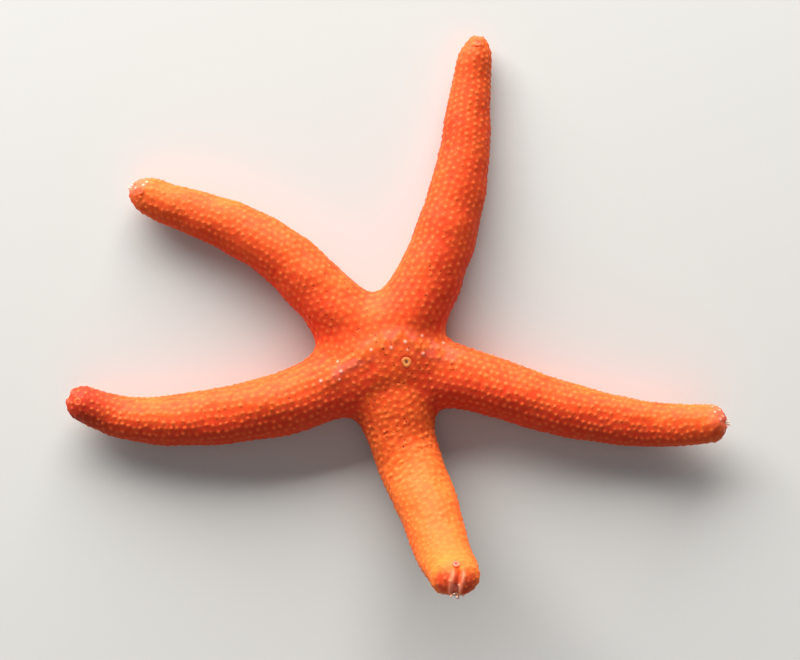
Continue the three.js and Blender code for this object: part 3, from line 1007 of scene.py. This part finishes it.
bend = rng.normal(0, footShape["bend"], len(feet))
setRods("tube_feet", spunTemplate(footShape), feet, spin, bend, footMaterial())

# spines along the groove's edges and round the mouth

edgeSpine = {
    "sides": 6,
    "spacing": 1.25,           # mm along the groove
    "radius": 0.27,
    "shrink": 0.35,
    "profile": ((1.0, 0.0), (1.0, 0.35), (0.85, 0.65), (0.5, 0.9), (0.0, 1.0)),
    "start": 4.2,
    "end": 2.4,
    "rows": ((0.05, 0.75, -0.55, 0.35), (0.85, 0.55, 0.1, 0.0)),   # gap, height, and both at the tip
    "mouthRing": 3.3,
    "mouthLength": 1.9,
    "mouthWidth": 1.35,        # against the others
    "mouthTurns": (-0.34, -0.13, 0.13, 0.34),      # from the middle between two arms
    "foot": "#E9803F",
    "tip": "#F6CBA0",
}


def edgeSpineMaterial():
    # chalk rods under a thin skin: matte, pale at the tip
    material, tree, shader, place = newMaterial("chalk_edge_spines")
    _, normal = fineGrain(tree, place, 0.2, 0.3, 0.1)
    colour = paint(tree, edgeSpine["foot"], (("level", 0.2, 0.9), edgeSpine["tip"]))
    setInputs(tree, shader, {"Base Color": colour, "Normal": normal, "Roughness": 0.5})
    return material


rods = []
for k, arm in enumerate(arms):
    length = arm["length"]
    place = edgeSpine["start"]
    while place < length - edgeSpine["end"]:
        t = place / length
        scale = 1 - edgeSpine["shrink"] * t
        half = starBody["grooveHalfWidth"] * (1 - 0.5 * t)
        for side in (-1, 1):
            for row, (gap, rise, aim, drop) in enumerate(edgeSpine["rows"]):
                shift = place + 0.3 * row + rng.uniform(-0.1, 0.1)
                foot = side * (half + gap)
                tip = side * (half + gap + aim * scale)
                rods.append((straightSpot(k, shift, foot, rise * scale + 0.1),
                             straightSpot(k, shift + rng.uniform(-0.2, 0.3), tip, drop * scale - 0.05),
                             edgeSpine["radius"] * scale * rng.uniform(0.85, 1.15),
                             bakePlaces(k, shift, foot, -4.0)))
        place += edgeSpine["spacing"] * scale
discMiddle = np.array([*starBody["disc"], 0.0])
for k, arm in enumerate(arms):
    following = arms[(k + 1) % len(arms)]["heading"] + (2 * math.pi if k == len(arms) - 1 else 0)
    corner = (arm["heading"] + following) / 2
    for turn in edgeSpine["mouthTurns"]:
        out = np.array([math.cos(corner + turn), math.sin(corner + turn), 0.0])
        inner = np.array([math.cos(corner + 0.4 * turn), math.sin(corner + 0.4 * turn), 0.0])
        rods.append((discMiddle + out * edgeSpine["mouthRing"] + [0, 0, 0.9],
                     discMiddle + inner * (edgeSpine["mouthRing"] - edgeSpine["mouthLength"]) + [0, 0, 0.5],
                     edgeSpine["radius"] * edgeSpine["mouthWidth"],
                     bakePlaces(k, 1.0, turn * 3, -4.0)))
setRods("groove_spines", spunTemplate(edgeSpine), rods, np.zeros(len(rods)), None, edgeSpineMaterial())

# the mouth's skin

mouthShape = {
    "rings": (2.3, 1.8, 1.3, 0.9, 0.6, 0.35),      # mm, the outer edge first and the opening's edge last
    "throat": ((0.15, 1.3), (0.0, 1.4)),           # radius and height of its end
    "slope": 0.25,
    "level": 2.5,              # mm above the ground
    "sides": 60,
    "folds": 15,
    "foldHeight": 0.12,
    # painted shade down the mouth's opening
    "openingShade": "#4A120A",
    "skin": "#DE9470",
}
rings = mouthShape["rings"]
line = [(radius, mouthShape["slope"] * (rings[0] - radius)) for radius in rings]
shell = spunShell(line + list(mouthShape["throat"]), mouthShape["sides"], -1)
for vert in shell.verts:
    radius = math.hypot(vert.co.x, vert.co.y)
    turn = math.atan2(vert.co.y, vert.co.x)
    vert.co.z += mouthShape["foldHeight"] * math.cos(mouthShape["folds"] * turn) * min(radius, 1)
    vert.co += Vector((*starBody["disc"], mouthShape["level"]))
    vert.co *= mm
mouthMesh = bpy.data.meshes.new("mouth_skin")
shell.to_mesh(mouthMesh)
shell.free()
mouthMesh.shade_smooth()
mouth = addObject("mouth_skin", mouthMesh)


def mouthMaterial():
    # thin wet skin, with painted shade darkening it towards the opening
    material, tree, shader, place = newMaterial("thin_mouth_skin")
    middle = [level * mm for level in (*starBody["disc"], mouthShape["level"])]
    gap = addNode(tree, "VectorMath", {0: place, 1: middle}, operation="DISTANCE").outputs["Value"]
    colour = paint(tree, mouthShape["openingShade"], ((gap, 0.0003, 0.0016), mouthShape["skin"]))
    setInputs(tree, shader, {"Base Color": colour, "Roughness": 0.3})
    return material


mouthMesh.materials.append(mouthMaterial())
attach(mouth, "root")

# tip plates with their eyespots

tipShape = {
    "radius": 1.12,
    "sides": 40,
    "sink": 0.2,               # mm
    "profile": ((1.15, -0.8), (1.12, -0.4), (1.02, -0.12), (0.85, 0.02), (0.66, 0.07), (0.52, 0.05),
                (0.42, -0.03), (0.24, 0.02), (0.0, 0.04)),
    "showing": 0.1,            # how clearly it shows on the arms that lie down
    "chalk": ("#E2604A", "#E77660"),
    "veiled": "#E25424",
    "edge": "#E85A22",
    "eyespot": "#9C2A1C",
    "veiledEyespot": "#C4401F",
}


def tipMaterial():
    # chalk plate under thin skin, pinkish, with a dark red eyespot in its middle
    look = tipShape
    material, tree, shader, place = newMaterial("chalk_tip_plate")
    patches = addNode(tree, "TexNoise", {"Vector": place, "Scale": 1000 / 1.2}).outputs["Fac"]
    _, normal = fineGrain(tree, place, 0.25, 0.4, 0.2)
    chalk = paint(tree, look["chalk"][0], ((patches, 0.35, 0.65), look["chalk"][1]))
    chalk = paint(tree, look["veiled"], ("showing", chalk))
    spot = paint(tree, look["veiledEyespot"], ("showing", look["eyespot"]))
    colour = paint(tree, chalk, (("inner", 0.62, 1.0), look["edge"]), (("inner", 0.46, 0.30), spot))
    setInputs(tree, shader, {"Base Color": colour, "Normal": normal, "Roughness": 0.55,
                             "Specular IOR Level": 0.25, "Subsurface Weight": 0.3,
                             "Subsurface Scale": 0.0008})
    return material


tipFinish = tipMaterial()
tipTemplate = spunTemplate(tipShape)
corners = tipTemplate[0]
inner = np.hypot(corners[:, 0], corners[:, 1])
for k, (middle, out) in enumerate(tipCaps):
    name = arms[k]["name"]
    made = placeCopies(corners, (middle - out * tipShape["sink"])[None], out[None],
                       np.array([tipShape["radius"]]), np.ones(1), np.zeros(1))
    bake = bakePlaces(k, arms[k]["length"], 0.0, 1.0)[None]
    fields = {"inner": inner, "showing": np.full(len(inner), 1.0 if k == raisedArm else tipShape["showing"])}
    piece = setMany(name + "_tip_cap", tipTemplate, made, bake, fields, tipFinish)
    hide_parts(name + "_tip_plate")

# the sieve plate

sieveShape = {
    "radius": 1.5,
    "sides": 72,
    "ridges": 15,
    "ridgeHeight": 0.1,
    "unevenness": 0.06,
    "sink": 0.3,               # mm
    "profile": ((1.06, -0.5), (1.04, -0.1), (0.95, 0.06), (0.82, 0.13), (0.67, 0.17), (0.52, 0.17),
                (0.39, 0.12), (0.28, 0.03), (0.15, -0.03), (0.0, -0.05)),
    "furrow": "#CC6428",
    "ridge": "#EC9744",
    "blush": "#E99A80",
    "middle": "#7A4A22",
    "edge": "#E85A22",
}


def sieveMaterial():
    # chalk plate cut by fine furrows, yellowish, dark in its sunken middle
    look = sieveShape
    material, tree, shader, place = newMaterial("chalk_sieve_plate")
    patches, normal = fineGrain(tree, place, 1.6, 0.5, 0.2)
    colour = paint(tree, look["furrow"], ("ridge", look["ridge"]), ((patches, 0.58, 0.75), look["blush"]),
                   (("inner", 0.44, 0.16), look["middle"]), (("inner", 0.75, 1.0), look["edge"]))
    setInputs(tree, shader, {"Base Color": colour, "Normal": normal, "Roughness": 0.45})
    return material


corners, faces = spunTemplate(sieveShape)
inner = np.hypot(corners[:, 0], corners[:, 1])
turn = np.arctan2(corners[:, 1], corners[:, 0])
furrow = 0.5 + 0.5 * np.cos(sieveShape["ridges"] * turn + 2.5 * np.sin(4 * inner))
corners[:, 2] += sieveShape["ridgeHeight"] * (furrow - 0.5) * smoothStep(inner, 0.25, 0.5) * (inner < 0.97)
uneven = 1 + sieveShape["unevenness"] * (np.sin(2 * turn + 0.6) + 0.6 * np.sin(3 * turn + 2.1))
corners[:, :2] *= uneven[:, None]
nearSieve = (fromSieve < 1.6) & (up > 0)
sieveOut = normals[nearSieve].mean(0)
sieveOut /= np.linalg.norm(sieveOut)
sieveTop = np.array([*sieveMiddle[:2], points[nearSieve, 2].mean()])
made = placeCopies(corners, (sieveTop - sieveShape["sink"] * sieveOut)[None], sieveOut[None],
                   np.array([sieveShape["radius"]]), np.ones(1), np.zeros(1))
piece = setMany("sieve_button", (corners, faces), made, np.array([[0.5, 0.99]]),
                {"ridge": furrow, "inner": inner}, sieveMaterial())
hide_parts("sieve_plate")

# floor, light and camera

studio = {
    "floor": "#C8C6C1",
    "lightDistance": 1.5,
    "lights": {                # watts, size in metres, azimuth, elevation
        "key": (103.5, (2.2, 1.0), 105.0, 20.0),
        "fill": (3.0, (1.5, 1.5), -75.0, 45.0),
    },
    "world": 0.17,
    "worldColour": (0.92, 0.95, 1.0, 1.0),
    "floorSize": 1.5,          # metres
    "cameraHeight": 600.0,     # mm above the floor
    "cameraPlace": (1.05, -6.4),
    "lens": 95.46,
}

floorMesh = bpy.data.meshes.new("floor")
shell = bmesh.new()
bmesh.ops.create_grid(shell, x_segments=1, y_segments=1, size=studio["floorSize"])
shell.to_mesh(floorMesh)
shell.free()
floor = addObject("floor", floorMesh)
material, tree, shader, _ = newMaterial("matte_paper")
setInputs(tree, shader, {"Base Color": linearColour(studio["floor"]), "Roughness": 0.9})
floorMesh.materials.append(material)

for name, (watts, size, azimuth, elevation) in studio["lights"].items():
    light = bpy.data.lights.new(name, "AREA")
    light.energy = watts
    light.shape = "RECTANGLE"
    light.size, light.size_y = size
    holder = addObject(name, light)
    a, e = math.radians(azimuth), math.radians(elevation)
    place = Vector((math.cos(a) * math.cos(e), math.sin(a) * math.cos(e), math.sin(e)))
    holder.location = place * studio["lightDistance"]
    holder.rotation_euler = (-place).to_track_quat("-Z", "Y").to_euler()
world = bpy.data.worlds.new("studio")
bpy.context.scene.world = world
world.use_nodes = True
setInputs(world.node_tree, world.node_tree.nodes["Background"],
          {"Color": studio["worldColour"], "Strength": studio["world"]})
bpy.context.scene.view_settings.view_transform = "Standard"

cameraData = bpy.data.cameras.new("camera")
cameraData.lens = studio["lens"]
cameraData.sensor_width = 36.0
camera = addObject("camera", cameraData)
camera.location = Vector((*studio["cameraPlace"], studio["cameraHeight"])) * mm
bpy.context.scene.camera = camera
